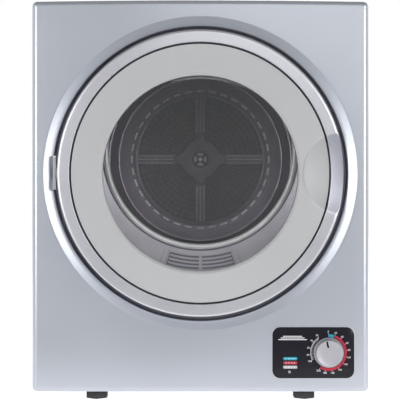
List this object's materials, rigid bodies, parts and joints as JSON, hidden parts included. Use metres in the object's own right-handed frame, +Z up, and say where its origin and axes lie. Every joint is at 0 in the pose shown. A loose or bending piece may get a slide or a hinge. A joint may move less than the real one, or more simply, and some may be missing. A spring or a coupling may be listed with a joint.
{
  "type": "tumble dryer",
  "caption": "Compact vented tumble dryer with a round glazed front door, belt-driven drum and fan, lint filter, timer knob, screw feet and a rear exhaust spigot.",
  "frame": {"origin": "on the floor under the centre of the whole dryer's box", "axes": "+Z up, -Y out of the door at the front, +X to the right of someone facing the door"},
  "size_m": [0.495, 0.41, 0.59],
  "materials": {
    "cabinet_paint": "satin silver paint",
    "front_silver": "satin silver paint on a moulding",
    "door_silver": "satin silver paint on a moulding",
    "door_grey": "fine satin light grey",
    "window": "clear, polished",
    "galvanised": "zinc-coated sheet",
    "drum_steel": "brushed stainless",
    "steel": "turned",
    "dark_plastic": "fine texture",
    "grey_plastic": "fine texture",
    "white_plastic": "plain moulded",
    "fascia_black": "gloss",
    "knob_silver": "satin silver",
    "rubber": "moulded",
    "felt": "pressed wool",
    "screen": "fine woven mesh",
    "motor": "cast and wound"
  },
  "bodies": {
    "cabinet": {"cabinet_shell": "cabinet_paint", "front_panel": "front_silver", "rear_panel": "galvanised", "base_pan": "galvanised", "front_bulkhead": "galvanised", "door_funnel": "grey_plastic", "air_grille": "grey_plastic", "drum_front_felt": "felt", "heater_duct": "galvanised", "heater_element": "steel", "thermostats": "dark_plastic", "rear_bulkhead": "galvanised", "drum_rear_felt": "felt", "fan_housing": "white_plastic", "exhaust_spigot": "white_plastic", "drum_bearing": "steel", "fan_axle": "steel", "motor_bracket": "galvanised", "motor_body": "motor", "motor_capacitor": "white_plastic", "drum_belt": "rubber", "fan_belt": "rubber", "control_fascia": "fascia_black", "timer_body": "white_plastic", "door_switch": "dark_plastic", "door_catch": "dark_plastic", "hinge_bracket": "dark_plastic", "hinge_pin": "steel", "terminal_block": "white_plastic", "cord_gland": "dark_plastic", "wiring_harness": "dark_plastic", "rear_panel_screws": "steel"},
    "door": {"door_outer_ring": "door_silver", "door_inner_ring": "door_grey", "door_window": "window", "door_frame": "grey_plastic", "door_seal": "rubber", "hinge_leaf": "dark_plastic", "latch_strike": "dark_plastic", "door_screws": "steel"},
    "drum": {"drum_shell": "drum_steel", "drum_front_wall": "drum_steel", "drum_rear_wall": "drum_steel", "drum_lifter_1": "grey_plastic", "drum_lifter_2": "grey_plastic", "drum_lifter_3": "grey_plastic", "drum_shaft": "steel"},
    "filter_cover": {"filter_cover": "grey_plastic", "filter_screen": "screen"},
    "filter_knob": {"filter_knob": "dark_plastic"},
    "motor_rotor": {"motor_rotor": "steel"},
    "fan": {"fan_impeller": "white_plastic"},
    "timer_knob": {"timer_knob": "knob_silver", "timer_shaft": "steel"},
    "switch_plunger": {"switch_plunger": "white_plastic"},
    "catch_pawl": {"catch_pawl": "white_plastic"},
    "foot_front_left": {"foot_front_left": "rubber"},
    "foot_front_right": {"foot_front_right": "rubber"},
    "foot_rear_left": {"foot_rear_left": "rubber"},
    "foot_rear_right": {"foot_rear_right": "rubber"}
  },
  "joints": [
    {"name": "door_hinge", "type": "hinge", "parent": "cabinet", "child": "door", "pos_m": [-0.2133, -0.193, 0.335], "axis": [0, 0, -1], "range_deg": [0, 150]},
    {"name": "drum_spin", "type": "hinge", "parent": "cabinet", "child": "drum", "pos_m": [0, 0, 0.368], "axis": [0, 1, 0], "continuous": true},
    {"name": "motor_spin", "type": "hinge", "parent": "cabinet", "child": "motor_rotor", "pos_m": [-0.15, 0, 0.092], "axis": [0, 1, 0], "continuous": true},
    {"name": "fan_spin", "type": "hinge", "parent": "cabinet", "child": "fan", "pos_m": [0, 0, 0.368], "axis": [0, 1, 0], "continuous": true},
    {"name": "filter_cover_slide", "type": "slide", "parent": "drum", "child": "filter_cover", "axis": [0, -1, 0], "range_m": [0, 0.1]},
    {"name": "filter_knob_turn", "type": "hinge", "parent": "filter_cover", "child": "filter_knob", "pos_m": [0, 0, 0.368], "axis": [0, -1, 0], "range_deg": [0, 90]},
    {"name": "timer_knob_turn", "type": "hinge", "parent": "cabinet", "child": "timer_knob", "pos_m": [0.1877, -0.19, 0.0727], "axis": [0, 1, 0], "range_deg": [0, 345]},
    {"name": "switch_press", "type": "slide", "parent": "cabinet", "child": "switch_plunger", "axis": [0, 1, 0], "range_m": [0, 0.003], "stiffness_N_per_m": 150, "springref_m": -0.002},
    {"name": "catch_lift", "type": "slide", "parent": "cabinet", "child": "catch_pawl", "axis": [0, 0, 1], "range_m": [0, 0.0025], "stiffness_N_per_m": 400, "springref_m": -0.002},
    {"name": "foot_front_left_screw", "type": "slide", "parent": "cabinet", "child": "foot_front_left", "axis": [0, 0, -1], "range_m": [0, 0.01]},
    {"name": "foot_front_right_screw", "type": "slide", "parent": "cabinet", "child": "foot_front_right", "axis": [0, 0, -1], "range_m": [0, 0.01]},
    {"name": "foot_rear_left_screw", "type": "slide", "parent": "cabinet", "child": "foot_rear_left", "axis": [0, 0, -1], "range_m": [0, 0.01]},
    {"name": "foot_rear_right_screw", "type": "slide", "parent": "cabinet", "child": "foot_rear_right", "axis": [0, 0, -1], "range_m": [0, 0.01]}
  ],
  "couplings": [
    {"joint": "motor_spin", "follows": "drum_spin", "ratio": 22.5},
    {"joint": "fan_spin", "follows": "drum_spin", "ratio": 22.5}
  ]
}
